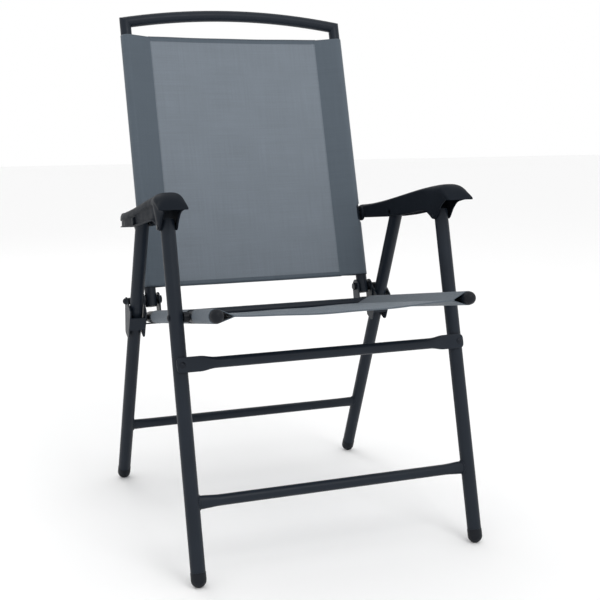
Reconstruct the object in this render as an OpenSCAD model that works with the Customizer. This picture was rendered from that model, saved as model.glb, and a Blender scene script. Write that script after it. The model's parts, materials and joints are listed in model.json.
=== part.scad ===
// Folding chair: steel tube frame, fabric sling seat and back, moulded armrests.
// Millimetres. +Z up, the sitter faces -Y, "left" is -X (as seen from the front).
// The origin is on the floor, under the middle of the chair's bounding box.

/* [Frame] */
// Distance between the axes of the left and right legs
leg_span = 514; // [440:2:624]
// Outer diameter of the four leg tubes
leg_d = 25; // [20:0.5:30]
// Outer diameter of the lower bars, the knee brace and the seat's rear bar
bar_d = 19; // [15:0.5:23]
// Outer diameter of the seat tubes, the back tubes and the top rail
rail_d = 22; // [18:0.5:26]
// Wall of every steel tube
tube_wall = 1.2; // [1:0.1:2]
// Distance on the floor between the front and rear foot axes
foot_span = 578; // [540:2:620]
// Lean of the front legs, back from vertical
front_lean = 15.3; // [12:0.1:17]
// Lean of the rear legs, forward from vertical
rear_lean = 22.8; // [21:0.1:24]
// Height of the bar between the front legs
front_bar_h = 131; // [90:1:180]
// Height of the bar between the rear legs
rear_bar_h = 127; // [90:1:180]
// Height of the brace on the front faces of the front legs
brace_h = 349.5; // [290:0.5:370]
// Height of the brace's flattened ends
brace_end_h = 26; // [20:1:30]
// Thickness of the brace's flattened ends
brace_end_t = 5; // [3:0.5:7]

/* [Seat] */
// Gap between a leg and the seat tube or back tube beside it
side_gap = 9.5; // [9:0.5:30]
// Height of the seat pivots on the front legs
seat_pivot_h = 426; // [410:1:440]
// Slope of the seat, front edge higher
seat_pitch = 10.5; // [6:0.1:13]
// Seat tube length in front of its pivot
seat_front = 128; // [90:1:160]
// Seat tube length behind its pivot
seat_rear = 325; // [318:0.5:329]
// Sag of the seat fabric at mid-width
seat_sag = 8; // [2:1:20]
// Distance from a seat tube's axis to the seam of the sleeve round it
seat_seam = 30; // [24:1:60]

/* [Back] */
// Height of the hinge between the seat and the back
hinge_h = 401.7; // [398:0.1:405]
// Lean of the back, from vertical
back_lean = 17; // [12:0.1:20]
// Back tube length from the hinge up to the top rail
back_len = 556; // [480:2:640]
// Rise of the top rail at mid-width
rail_rise = 18.8; // [10:0.2:30]
// Distance from the hinge up to the fabric's lower edge
back_fabric_low = 24; // [20:1:60]
// Gap between the fabric's top edge and the rail's corners
back_fabric_gap = 28; // [22:1:60]
// Sag of the back fabric at mid-width
back_sag = 7; // [2:1:16]
// Distance from a back tube's axis to the seam of the sleeve round it
back_seam = 47; // [30:1:80]
// Thickness of the fabric
fabric_t = 1.2; // [0.8:0.1:2]

/* [Armrests] */
// Distance between the seat pivot and the armrest's front pivot
link_len = 152.8; // [127:0.2:184]
// Height of the rear leg's pivot in the armrest
arm_leg_h = 564; // [560:0.5:570]
// Gap between a leg and the walls of the armrest over it
cheek_gap = 2.5; // [2.2:0.1:5]
// Extra width of the armrest's hooded front on its inner side
hood_in = 3.5; // [0:0.5:8]
// Extra width of the armrest's hooded front on its outer side
hood_out = 10.5; // [3:0.5:16]
// Distance of the armrest's middle outward from the legs' axes
arm_offset = 1.5; // [0:0.1:1.5]
// Wall of the armrest moulding
arm_wall = 3; // [2.5:0.1:4]

/* [Hinges and fasteners] */
// Diameter of the pivot bolts and rivets
pin_d = 8; // [6:0.5:9]
// Radial clearance of a pin in the hole it turns in
pin_gap = 0.05; // [0.03:0.01:0.1]
// Outer diameter of the roller behind each rear leg
roller_d = 13; // [11:0.5:15]
// Clearance between the rear leg and the roller at rest
guide_gap = 0.4; // [0.3:0.1:1]
// Thickness of the stamped hinge plates
plate_t = 2.5; // [2:0.1:3]
// Clearance between a leg and the inner faces of the guide channel
guide_side_gap = 1.2; // [0.8:0.1:3]
// Room for the rear leg to move forward in the guide channel
guide_front_gap = 5.5; // [5:0.5:8]
// Thickness of the washers beside the back tube
washer_t = 2; // [1.5:0.1:3]

/* [Hidden] */
$fn = 64;

LEFT = -1;
RIGHT = 1;
SIDES = [LEFT, RIGHT];
steel = [0.13, 0.16, 0.20];
moulding = [0.08, 0.09, 0.11];
hardware = [0.20, 0.21, 0.23];
fabric = [0.40, 0.44, 0.48];

leg_r = leg_d / 2;
bar_r = bar_d / 2;
rail_r = rail_d / 2;
roller_r = roller_d / 2;
leg_x = leg_span / 2;
rail_x = leg_x - leg_r - side_gap - rail_r;
seat_span = 2 * rail_x;
big = 2000;
side_reach = 150;
thin = 0.02;

// Positions in the side view, [0, y, z], with y = 0 where the front legs' axes meet the floor.
function on_front_leg(h) = [0, tan(front_lean) * h, h];
function on_rear_leg(h) = [0, foot_span - tan(rear_lean) * h, h];
function leaning(lean) = [0, sin(lean), cos(lean)];

// The roller stands behind the rear leg, and the hinge bolt is its axle.
roller_offset = leg_r + roller_r + guide_gap;
seat_pivot = on_front_leg(seat_pivot_h);
hinge = on_rear_leg(hinge_h) + [0, roller_offset / cos(rear_lean), 0];
// Seat, armrests, front legs and back form a parallelogram on each side.
link = link_len * leaning((front_lean + back_lean) / 2);
arm_front = seat_pivot + link;
arm_back = hinge + link;
arm_leg = on_rear_leg(arm_leg_h);
// The hinge clevis reaches from the hinge bolt down to the seat tube's end.
clevis_r = 14;
clevis_overhang = 1;
clevis_to_bar = 4;
clevis_s = seat_rear - clevis_r + clevis_overhang;
seat_bar_s = clevis_s - clevis_r - bar_r - clevis_to_bar;

// Overall depth, from the seat tubes' front caps to the top rail.
cap_r = rail_r + 0.6;
seat_cap_front = seat_pivot - seat_front * leaning(90 + seat_pitch);
depth_front = min(seat_cap_front[1] - cap_r, -leg_r - 1);
rail_top = hinge + (back_len + rail_rise) * leaning(back_lean);
depth_rear = rail_top[1] + rail_r;
y_mid = (depth_front + depth_rear) / 2;

module to_origin() {
    translate([0, -y_mid, 0]) children();
}

module on_side(side) {
    if (side == RIGHT) children();
    else mirror([1, 0, 0]) children();
}

// Puts local +Z along a direction that leans back from vertical, in the side view.
module along(point, lean) {
    translate(point) rotate([-lean, 0, 0]) children();
}

// Lays a solid's local +Z along X, starting at x.
module across(x, point) {
    translate([x, point[1], point[2]]) rotate([0, 90, 0]) children();
}

module tube(length, d) {
    difference() {
        cylinder(h = length, d = d);
        translate([0, 0, -1]) cylinder(h = length + 2, d = d - 2 * tube_wall);
    }
}

// Hole along X through whatever stands at the side.
module cross_hole(point, d) {
    across(leg_x - side_reach, point) cylinder(h = 2 * side_reach, d = d);
}

module ring(length, outer_d, inner_d) {
    difference() {
        cylinder(h = length, d = outer_d);
        translate([0, 0, -1]) cylinder(h = length + 2, d = inner_d);
    }
}

// Low domed head of a rivet, dome up.
module rivet_head(d, height) {
    dome_r = (d * d / 4 + height * height) / (2 * height);
    intersection() {
        translate([0, 0, height - dome_r]) sphere(r = dome_r, $fn = 96);
        cylinder(h = height + 1, d = d + 1);
    }
}

// Outline of a convex plate with corners rounded to radius r about the given points,
// which go anticlockwise. Two points give a plate with round ends.
corner_steps = 12;
function heading(a, b) = atan2(b[1] - a[1], b[0] - a[0]);
function turn(from, to) = ((to - from) % 360 + 360) % 360;
function rounded(points, r) = [
    for (i = [0 : len(points) - 1])
        let (
            before = points[(i + len(points) - 1) % len(points)],
            after = points[(i + 1) % len(points)],
            start = heading(before, points[i]),
            sweep = turn(start, heading(points[i], after))
        )
        for (k = [0 : corner_steps])
            let (a = start - 90 + sweep * k / corner_steps)
            points[i] + r * [cos(a), sin(a)]
];

// Flat plate in the side view: local X of the outline is -> rear, local Y is up.
module side_plate(x, t) {
    translate([x, 0, 0]) rotate([90, 0, 90]) linear_extrude(height = t) children();
}

// ---- Front frame ----

foot_r = leg_r + 0.5;
foot_flat = 0.8;
foot_collar = 12;
foot_stem = 20;
leg_over_front = 12;
leg_over_rear = 7;

// Centre of the foot's dome along the leg, so that its flat lies on the floor.
function foot_centre(lean) = (foot_r - foot_flat) / cos(lean);

// Moulded foot: dome with a flat, a collar and a stem inside the tube.
module foot(base, lean) {
    difference() {
        along(base, lean) translate([0, 0, foot_centre(lean)]) {
            sphere(r = foot_r);
            cylinder(h = foot_collar, r = foot_r);
            cylinder(h = foot_collar + foot_stem, r = leg_r - tube_wall);
        }
        translate([-big / 2, base[1] - big / 2, -big]) cube([big, big, big]);
    }
}

module leg_tube(base, lean, top, holes) {
    start = foot_centre(lean) + foot_collar;
    difference() {
        translate([leg_x, 0, 0]) along(base, lean) translate([0, 0, start])
            tube(top - start, leg_d);
        for (hole = holes) cross_hole(hole, pin_d + 2 * pin_gap);
    }
}

front_leg_top = arm_front[2] / cos(front_lean) + leg_over_front;
brace_s = brace_h / cos(front_lean);
brace_pin_d = 6;

module front_leg(side) {
    color(steel) to_origin() on_side(side) difference() {
        leg_tube([0, 0, 0], front_lean, front_leg_top, [seat_pivot, arm_front]);
        translate([leg_x, 0, 0]) along([0, 0, 0], front_lean)
            translate([0, -side_reach, brace_s]) rotate([-90, 0, 0])
                cylinder(h = 2 * side_reach, d = brace_pin_d);
    }
}

// Bar between two legs, its ends coped to them.
module coped_bar(point, base, lean) {
    difference() {
        across(-leg_x, point) tube(leg_span, bar_d);
        for (side = SIDES) translate([side * leg_x, 0, 0]) along(base, lean)
            cylinder(h = big, d = leg_d);
    }
}

module front_lower_bar() {
    color(steel) to_origin() coped_bar(on_front_leg(front_bar_h), [0, 0, 0], front_lean);
}

brace_taper = 42;
brace_flat = 22;
brace_tip = 9;
brace_corner = 7;
brace_y = -leg_r - brace_end_t / 2;

// Flat, rounded end of the brace and its taper, in the front legs' leaning frame.
module brace_end() {
    start = leg_x - brace_flat - brace_corner / 2;
    end = leg_x + brace_tip - brace_corner;
    up = brace_end_h / 2 - brace_corner;
    translate([0, brace_end_t / 2, 0]) rotate([90, 0, 0])
        linear_extrude(height = brace_end_t)
            polygon(rounded([[start, -up], [end, -up], [end, up], [start, up]], brace_corner));
    hull() {
        translate([leg_x - brace_flat - thin, -brace_end_t / 2, -brace_end_h / 2])
            cube([thin, brace_end_t, brace_end_h]);
        across(leg_x - brace_flat - brace_taper, [0, 0, 0])
            cylinder(h = thin, d = bar_d, $fn = 32);
    }
}

module knee_brace() {
    half = leg_x - brace_flat - brace_taper;
    color(steel) to_origin() along([0, 0, 0], front_lean) translate([0, brace_y, brace_s])
        difference() {
            union() {
                across(-half, [0, 0, 0]) cylinder(h = 2 * half, d = bar_d);
                for (side = SIDES) on_side(side) brace_end();
            }
            across(-half, [0, 0, 0]) cylinder(h = 2 * half, d = bar_d - 2 * tube_wall);
            for (side = SIDES) translate([side * leg_x, -side_reach, 0]) rotate([-90, 0, 0])
                cylinder(h = 2 * side_reach, d = brace_pin_d);
        }
}

module brace_rivets() {
    head_d = 11;
    head_h = 2.4;
    reach = leg_d + brace_end_t;
    color(hardware) to_origin() for (side = SIDES) translate([side * leg_x, 0, 0])
        along([0, 0, 0], front_lean) translate([0, -leg_r - brace_end_t, brace_s])
            rotate([-90, 0, 0]) {
                cylinder(h = reach, d = brace_pin_d);
                rotate([180, 0, 0]) rivet_head(head_d, head_h);
                translate([0, 0, reach]) rivet_head(head_d, head_h);
            }
}

module front_foot(side) {
    color(moulding) to_origin() on_side(side) translate([leg_x, 0, 0])
        foot([0, 0, 0], front_lean);
}

pivot_head_d = 13;
pivot_head_h = 2.6;
spacer_d = 18;
spacer_play = 0.3;
rail_inner_face = rail_x - rail_r;
rail_outer_face = rail_x + rail_r;
leg_inner_face = leg_x - leg_r;
leg_outer_face = leg_x + leg_r;

module seat_pivot_bolts() {
    length = leg_outer_face - rail_inner_face;
    color(hardware) to_origin() for (side = SIDES) on_side(side)
        across(rail_inner_face, seat_pivot) {
            cylinder(h = length, d = pin_d);
            rotate([180, 0, 0]) rivet_head(pivot_head_d, pivot_head_h);
            translate([0, 0, length]) rivet_head(pivot_head_d, pivot_head_h);
        }
}

module seat_pivot_spacers() {
    color(moulding) to_origin() for (side = SIDES) on_side(side)
        across(rail_outer_face + spacer_play, seat_pivot)
            ring(side_gap - spacer_play, spacer_d, pin_d + 2 * pin_gap);
}

// Pins of the armrests' leg pivots end inside the outer cheek, out of sight.
arm_x = leg_x + arm_offset;
arm_w = leg_d + 2 * (cheek_gap + arm_wall);
arm_in = arm_x - arm_w / 2;
pin_cover = 1.2;

module arm_pin(point) {
    across(arm_in, point) cylinder(h = arm_w - pin_cover, d = pin_d);
}

module arm_front_pins() {
    color(hardware) to_origin() for (side = SIDES) on_side(side) arm_pin(arm_front);
}

// ---- Seat ----

seat_lean = 90 + seat_pitch;

// Solids of the seat in a frame whose +Z runs back along the seat tubes, and +Y is down.
module in_seat() {
    along(seat_pivot, seat_lean) children();
}

clevis_pin_d = 6;
clevis_point = seat_pivot + clevis_s * leaning(seat_lean);

module seat_tube(side) {
    color(steel) to_origin() on_side(side) difference() {
        translate([rail_x, 0, 0]) in_seat() translate([0, 0, -seat_front])
            tube(seat_front + seat_rear, rail_d);
        cross_hole(seat_pivot, pin_d + 2 * pin_gap);
        cross_hole(clevis_point, clevis_pin_d);
    }
}

module seat_rear_bar() {
    color(steel) to_origin() in_seat() difference() {
        across(-rail_x, [0, 0, seat_bar_s]) tube(seat_span, bar_d);
        for (side = SIDES) translate([side * rail_x, 0, 0]) cylinder(h = big, d = rail_d);
    }
}

cap_stem = 16;
front_cap_rim = 0.5;
rear_cap_rim = 2;
rivet_room = 6;

// Rounded cap over a tube's end, with a stem inside the tube. The dome faces local -Z.
module dome_cap(rim) {
    intersection() {
        sphere(r = cap_r);
        translate([0, 0, -big / 2]) cube([big, big, big], center = true);
    }
    translate([0, 0, -rim]) cylinder(h = rim, r = cap_r);
    cylinder(h = cap_stem, r = rail_r - tube_wall);
}

// Flat-ended plug in a tube's end, its rim outside at local -Z.
module end_plug(rim, stem) {
    translate([0, 0, -rim]) cylinder(h = rim, r = rail_r);
    cylinder(h = stem, r = rail_r - tube_wall);
}

module seat_front_caps() {
    color(moulding) to_origin() for (side = SIDES) translate([side * rail_x, 0, 0]) in_seat()
        translate([0, 0, -seat_front]) dome_cap(front_cap_rim);
}

module seat_rear_caps() {
    color(moulding) to_origin() for (side = SIDES) translate([side * rail_x, 0, 0]) in_seat()
        translate([0, 0, seat_rear]) rotate([180, 0, 0])
            end_plug(rear_cap_rim, seat_rear - clevis_s - rivet_room);
}

// Fabric between two tubes: a shallow sagging band and a loop round each tube, closed by a
// seam inboard of the tube.
loop_gap = 0.1;
loop_steps = 48;
seam_overlap = 6;
sag_steps = 16;
notch_half = 23;

function sag_at(x, sag) = sag * (1 - pow(x / rail_x, 2));

module sag_band(sag) {
    xs = [for (i = [0 : sag_steps]) -rail_x + 2 * rail_x * i / sag_steps];
    polygon(concat(
        [for (x = xs) [x, sag_at(x, sag) - fabric_t]],
        [for (i = [sag_steps : -1 : 0]) [xs[i], sag_at(xs[i], sag) + fabric_t]]));
}

// Outline round one side's tube: an arc and two straight lines that meet inboard.
function loop_outline(side, r, reach, sag) =
    let (
        tip = [-side * reach, sag_at(rail_x - reach, sag)],
        facing = atan2(tip[1], tip[0]),
        open = acos(r / norm(tip)),
        sweep = 360 - 2 * open
    )
    concat([[side * rail_x, 0] + tip], [for (i = [0 : loop_steps])
        let (a = facing + open + sweep * i / loop_steps) [side * rail_x, 0] + r * [cos(a), sin(a)]]);

module sling(low, high, sag, seam, notch_at) {
    difference() {
        translate([0, 0, low]) linear_extrude(height = high - low) {
            sag_band(sag);
            for (side = SIDES)
                polygon(loop_outline(side, rail_r + loop_gap + fabric_t, seam + seam_overlap, sag));
        }
        for (side = SIDES) {
            translate([0, 0, low - 1]) linear_extrude(height = high - low + 2)
                polygon(loop_outline(side, rail_r + loop_gap, seam, sag));
            translate([side * (rail_x + side_reach / 2), 0, notch_at])
                cube([side_reach, side_reach, 2 * notch_half], center = true);
        }
    }
}

seat_fabric_inset = 3;
seat_fabric_to_bar = 2;
seat_fabric_rear = seat_bar_s - bar_r - seat_fabric_to_bar;

module seat_sling() {
    color(fabric) to_origin() in_seat()
        sling(-seat_front + seat_fabric_inset, seat_fabric_rear, seat_sag, seat_seam, 0);
}

// ---- Hinge brackets ----

guide_in = leg_inner_face - guide_side_gap;
guide_out = leg_outer_face + guide_side_gap;
clevis_out = guide_in - plate_t;
clevis_in = rail_inner_face - washer_t;
bolt_end = clevis_in - plate_t;
guide_foot = hinge - roller_offset * [0, cos(rear_lean), sin(rear_lean)];

// Solids in the rear leg's frame: +Z up along the leg from beside the hinge bolt, +Y back.
module in_guide() {
    along(guide_foot, -rear_lean) children();
}

guide_front = leg_r + guide_front_gap + plate_t;
guide_low = 62;
web_top = 15;
web_h = 27;
flange_r = 8;
flange_back = 9;

module flange_outline() {
    polygon(rounded([
        [-guide_front + flange_r, -guide_low + flange_r],
        [flange_back - flange_r, -guide_low + flange_r],
        [roller_offset, 0],
        [-guide_front + flange_r, -web_top + flange_r]
    ], flange_r));
}

// U-shaped channel that rides round the rear leg, with ears for the hinge bolt.
module leg_guide(side) {
    color(steel) to_origin() on_side(side) difference() {
        in_guide() {
            for (x = [guide_in - plate_t, guide_out]) side_plate(x, plate_t) flange_outline();
            translate([guide_in - plate_t, -guide_front, -web_top - web_h])
                cube([guide_out - guide_in + 2 * plate_t, plate_t, web_h]);
        }
        cross_hole(hinge, pin_d + 2 * pin_gap);
    }
}

clevis_floor = 16;
clevis_rivet_head_d = 10;
clevis_rivet_head_h = 2;
small_washer_d = 14;
washer_play = 0.2;

// U-shaped clevis: two plates up to the hinge bolt and a floor under the seat tube's end.
module hinge_clevis(side) {
    up = [hinge[1], hinge[2]];
    low = [clevis_point[1], clevis_point[2]];
    color(steel) to_origin() on_side(side) difference() {
        union() {
            for (x = [clevis_in - plate_t, clevis_out - plate_t])
                side_plate(x, plate_t) polygon(rounded([up, low], clevis_r));
            in_seat() translate([clevis_in - plate_t, rail_r, clevis_s - clevis_floor / 2])
                cube([clevis_out - clevis_in + plate_t, plate_t, clevis_floor]);
        }
        cross_hole(hinge, pin_d + 2 * pin_gap);
        cross_hole(clevis_point, clevis_pin_d);
    }
}

module clevis_rivets() {
    color(hardware) to_origin() for (side = SIDES) on_side(side)
        across(clevis_in - plate_t, clevis_point) {
            cylinder(h = clevis_out - clevis_in, d = clevis_pin_d);
            rotate([180, 0, 0]) rivet_head(clevis_rivet_head_d, clevis_rivet_head_h);
        }
}

module clevis_washers() {
    outer_t = clevis_out - plate_t - rail_outer_face;
    color(moulding) to_origin() for (side = SIDES) on_side(side) {
        across(clevis_in, hinge) ring(washer_t - washer_play, spacer_d, pin_d + 2 * pin_gap);
        across(rail_outer_face + washer_play, hinge)
            ring(outer_t - washer_play, spacer_d, pin_d + 2 * pin_gap);
        across(clevis_in, clevis_point) ring(washer_t, small_washer_d, clevis_pin_d);
        across(rail_outer_face, clevis_point) ring(outer_t, small_washer_d, clevis_pin_d);
    }
}

bolt_head_d = 13;
bolt_head_h = 6;
nut_h = 5;
nut_d = 15;

module hinge_bolt(side) {
    length = guide_out + plate_t - bolt_end + nut_h;
    color(hardware) to_origin() on_side(side) across(bolt_end - nut_h, hinge) {
        cylinder(h = length, d = pin_d);
        translate([0, 0, length]) rivet_head(bolt_head_d, bolt_head_h);
    }
}

module hinge_nuts() {
    color(hardware) to_origin() for (side = SIDES) on_side(side)
        across(bolt_end - nut_h, hinge) difference() {
            cylinder(h = nut_h, d = nut_d, $fn = 6);
            translate([0, 0, -1]) cylinder(h = nut_h + 2, d = pin_d);
        }
}

roller_play = 0.5;

module guide_roller(side) {
    color(moulding) to_origin() on_side(side) across(guide_in + roller_play, hinge)
        ring(guide_out - guide_in - 2 * roller_play, roller_d, pin_d + 2 * pin_gap);
}

// ---- Back ----

// Solids of the back in a frame whose +Z runs up the back tubes and +Y is behind.
module in_back() {
    along(hinge, back_lean) children();
}

back_below = 12;
back_plug_rim = 1.5;
rail_arc_over = 2;
rail_arc_r = (pow(rail_x, 2) + pow(rail_rise, 2)) / (2 * rail_rise);
rail_slope = asin(rail_x / rail_arc_r);

// Half-space outside the mitre plane of the top corner.
module mitre_cut(side, keep_rail) {
    translate([side * rail_x, 0, back_len]) rotate([0, side * (45 + rail_slope / 2), 0])
        translate([keep_rail ? (side > 0 ? 0 : -big) : (side > 0 ? -big : 0), -big / 2, -big / 2])
            cube([big, big, big]);
}

module back_tube(side) {
    color(steel) to_origin() difference() {
        in_back() difference() {
            translate([side * rail_x, 0, -back_below])
                tube(back_len + back_below + rail_d, rail_d);
            mitre_cut(side, false);
        }
        on_side(side) cross_hole(hinge, pin_d + 2 * pin_gap);
        on_side(side) cross_hole(arm_back, pin_d);
    }
}

module back_top_rail() {
    color(steel) to_origin() in_back() difference() {
        translate([0, 0, back_len + rail_rise - rail_arc_r]) rotate([90, 0, 0])
            rotate([0, 0, 90 - rail_slope - rail_arc_over])
                rotate_extrude(angle = 2 * (rail_slope + rail_arc_over), $fn = 720)
                    translate([rail_arc_r, 0]) difference() {
                        circle(d = rail_d);
                        circle(d = rail_d - 2 * tube_wall);
                    }
        for (side = SIDES) mitre_cut(side, true);
    }
}

module back_tube_plugs() {
    color(moulding) to_origin() for (side = SIDES) difference() {
        translate([side * rail_x, 0, 0]) in_back() translate([0, 0, -back_below])
            end_plug(back_plug_rim, cap_stem);
        on_side(side) cross_hole(hinge, pin_d + 2 * spacer_play);
    }
}

back_fabric_high = back_len - back_fabric_gap;

module back_sling() {
    color(fabric) to_origin() in_back()
        sling(back_fabric_low, back_fabric_high, back_sag, back_seam, link_len);
}

// Pins that hold the armrests' rear ends to the back tubes.
arm_boss_gap = 0.5;
arm_rear_boss = 3;
arm_rear_head_d = 12;
arm_rear_head_h = 2.2;
arm_rear_spacer_d = 16;

module arm_rear_pins() {
    length = arm_in + arm_wall + arm_rear_boss - rail_inner_face;
    color(hardware) to_origin() for (side = SIDES) on_side(side)
        across(rail_inner_face, arm_back) {
            cylinder(h = length, d = pin_d);
            rotate([180, 0, 0]) rivet_head(arm_rear_head_d, arm_rear_head_h);
            translate([0, 0, length]) rivet_head(arm_rear_head_d, arm_rear_head_h);
        }
}

module arm_rear_spacers() {
    color(moulding) to_origin() for (side = SIDES) on_side(side)
        across(rail_outer_face, arm_back)
            ring(arm_in - rail_outer_face - spacer_play, arm_rear_spacer_d, pin_d);
}

// ---- Armrests ----

function bezier(a, b, c, d, t) =
    pow(1 - t, 3) * a + 3 * pow(1 - t, 2) * t * b + 3 * (1 - t) * t * t * c + t * t * t * d;
function curve(a, b, c, d, steps) = [for (i = [0 : steps]) bezier(a, b, c, d, i / steps)];

// Side outline, [y, z], measured from the front pivot with y to the rear.
arm_leg_at = [arm_leg[1] - arm_front[1], arm_leg[2] - arm_front[2]];
arm_back_at = [arm_back[1] - arm_front[1], arm_back[2] - arm_front[2]];
tail_high = arm_back_at + [18, 17];
tail_low = arm_back_at + [18, -11];
crown = [-24, 59.5];
lip = [-68, 34.5];
arm_tail = tail_high[0];
arm_steps = 14;

// How far the top's curves reach from the tail and from the crown.
tail_pull = [-0.36 * arm_tail, 12.3];
crown_pull = [84, -7.5];
hood_pull = [-16, 0];
lip_pull = [11, 15.5];

// Lower edge of the hood and of the lug round the front pivot, from the lip to the rear.
lug_edge = [
    [-56, 34], [-47, 32.5], [-37, 28.5], [-29, 23], [-21, 15], [-15, 6], [-10, -4],
    [-6, -6.5], [4, -6.5], [8, -4], [30, 6.5], [35, 7.5]
];

function arm_top(inset) = concat(
    curve(tail_high - [0, inset], tail_high + tail_pull - [0, inset],
          crown + crown_pull - [0, inset], crown - [0, inset], arm_steps),
    curve(crown - [0, inset], crown + hood_pull - [0, inset],
          lip + lip_pull + [inset, -inset], lip + [inset, 0], arm_steps));

module arm_side_outline() {
    polygon(concat(arm_top(0), lug_edge,
        [arm_leg_at - [51, 2], arm_leg_at + [2, -10], tail_low]));
}

module arm_cavity_outline() {
    past = arm_tail + 1;
    polygon(concat(arm_top(arm_wall), [[lip[0] + arm_wall, -side_reach], [past, -side_reach],
        [past, tail_high[1] - arm_wall]]));
}

// Plan outline, [x, y]: parallel cheeks, a wider hood at the front and a tapered tail.
flare_rear = 40;
flare_mid = 10;
flare_front = -30;
hood_corner = 8;
hood_front_gap = 0.5;
taper_len = 65;
taper = 10;
plan_steps = 8;

function flare(cheek, hood) =
    curve([cheek, flare_rear], [cheek, flare_mid], [hood, 0], [hood, flare_front], plan_steps);
function hood_side(x, front, toward_middle) =
    curve([x, front + hood_corner], [x, front + hood_corner / 3],
          [x + toward_middle / 3, front], [x + toward_middle, front - hood_front_gap], plan_steps);
function reversed(points) = [for (i = [len(points) - 1 : -1 : 0]) points[i]];

module arm_plan_outline(inset) {
    half = arm_w / 2 - inset;
    front = lip[0] + inset;
    polygon(concat(
        [[-half, arm_tail + 1]], flare(-half, -half - hood_in),
        hood_side(-half - hood_in, front, hood_corner),
        reversed(hood_side(half + hood_out, front, -hood_corner)),
        reversed(flare(half, half + hood_out)),
        [[half, arm_tail - taper_len], [half - taper, arm_tail + 1]]));
}

boss_r = 8.5;

// Bosses beside a leg, from well inside each cheek to just clear of the leg.
module arm_bosses(point) {
    for (x = [leg_inner_face - arm_boss_gap - arm_w, leg_outer_face + arm_boss_gap])
        across(x, point) cylinder(h = arm_w, r = boss_r);
}

// Where a side outline and a plan outline meet, both given from the front pivot.
module arm_block(inset) {
    translate([0, arm_front[1], arm_front[2]]) intersection() {
        side_plate(arm_x - side_reach, 2 * side_reach) children();
        translate([arm_x, 0, -side_reach]) linear_extrude(height = 2 * side_reach)
            arm_plan_outline(inset);
    }
}

module armrest(side) {
    color(moulding) to_origin() on_side(side) difference() {
        arm_block(0) arm_side_outline();
        difference() {
            arm_block(arm_wall) arm_cavity_outline();
            arm_bosses(arm_front);
            arm_bosses(arm_leg);
            across(arm_in, arm_back) cylinder(h = arm_wall + arm_rear_boss, r = boss_r);
        }
        for (point = [arm_front, arm_leg]) across(arm_in - arm_w, point)
            cylinder(h = 2 * arm_w - pin_cover, d = pin_d + 2 * pin_gap);
        across(arm_in - arm_w, arm_back)
            cylinder(h = arm_w + arm_wall + arm_rear_boss + 1, d = pin_d + 2 * pin_gap);
    }
}

module arm_leg_pin(side) {
    color(hardware) to_origin() on_side(side) arm_pin(arm_leg);
}

// ---- Rear frame ----

rear_foot_point = on_rear_leg(0);
rear_leg_top = arm_leg_h / cos(rear_lean) + leg_over_rear;

module rear_leg(side) {
    color(steel) to_origin() on_side(side)
        leg_tube(rear_foot_point, -rear_lean, rear_leg_top, [arm_leg]);
}

module rear_lower_bar() {
    color(steel) to_origin() coped_bar(on_rear_leg(rear_bar_h), rear_foot_point, -rear_lean);
}

module rear_foot(side) {
    color(moulding) to_origin() on_side(side) translate([leg_x, 0, 0])
        foot(rear_foot_point, -rear_lean);
}

front_leg(LEFT);  // front_leg_left
front_leg(RIGHT);  // front_leg_right
front_lower_bar();
knee_brace();
brace_rivets();
front_foot(LEFT);  // front_foot_left
front_foot(RIGHT);  // front_foot_right
seat_pivot_bolts();
seat_pivot_spacers();
arm_front_pins();
seat_tube(LEFT);  // seat_tube_left
seat_tube(RIGHT);  // seat_tube_right
seat_rear_bar();
seat_front_caps();
seat_rear_caps();
seat_sling();
leg_guide(LEFT);  // leg_guide_left
leg_guide(RIGHT);  // leg_guide_right
hinge_clevis(LEFT);  // hinge_clevis_left
hinge_clevis(RIGHT);  // hinge_clevis_right
clevis_rivets();
clevis_washers();
hinge_bolt(LEFT);  // hinge_bolt_left
hinge_bolt(RIGHT);  // hinge_bolt_right
hinge_nuts();
guide_roller(LEFT);  // guide_roller_left
guide_roller(RIGHT);  // guide_roller_right
back_tube(LEFT);  // back_tube_left
back_tube(RIGHT);  // back_tube_right
back_top_rail();
back_tube_plugs();
back_sling();
arm_rear_pins();
arm_rear_spacers();
armrest(LEFT);  // armrest_left
arm_leg_pin(LEFT);  // arm_leg_pin_left
armrest(RIGHT);  // armrest_right
arm_leg_pin(RIGHT);  // arm_leg_pin_right
rear_leg(LEFT);  // rear_leg_left
rear_leg(RIGHT);  // rear_leg_right
rear_lower_bar();
rear_foot(LEFT);  // rear_foot_left
rear_foot(RIGHT);  // rear_foot_right
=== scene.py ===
"""Folding chair: the looks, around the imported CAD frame. Metres, +Z up, the sitter faces -Y."""

import json
import math
import random

import bmesh
import bpy
import numpy as np
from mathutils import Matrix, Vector


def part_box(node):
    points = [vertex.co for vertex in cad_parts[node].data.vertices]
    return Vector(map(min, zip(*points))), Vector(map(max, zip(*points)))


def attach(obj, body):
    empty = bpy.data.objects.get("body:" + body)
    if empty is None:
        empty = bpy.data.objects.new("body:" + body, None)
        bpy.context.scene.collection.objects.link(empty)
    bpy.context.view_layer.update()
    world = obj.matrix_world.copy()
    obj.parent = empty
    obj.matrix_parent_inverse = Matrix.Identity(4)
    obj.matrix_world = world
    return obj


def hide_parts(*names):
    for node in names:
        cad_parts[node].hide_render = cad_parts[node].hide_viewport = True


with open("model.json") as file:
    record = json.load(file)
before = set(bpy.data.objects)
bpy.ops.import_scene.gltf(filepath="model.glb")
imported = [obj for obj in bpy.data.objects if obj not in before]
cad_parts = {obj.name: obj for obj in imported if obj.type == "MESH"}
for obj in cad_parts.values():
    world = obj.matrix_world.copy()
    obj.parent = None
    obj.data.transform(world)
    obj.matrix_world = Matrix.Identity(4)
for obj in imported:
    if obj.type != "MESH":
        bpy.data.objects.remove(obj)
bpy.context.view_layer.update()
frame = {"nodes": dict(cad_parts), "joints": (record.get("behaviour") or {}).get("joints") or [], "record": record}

MM = 0.001
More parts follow.
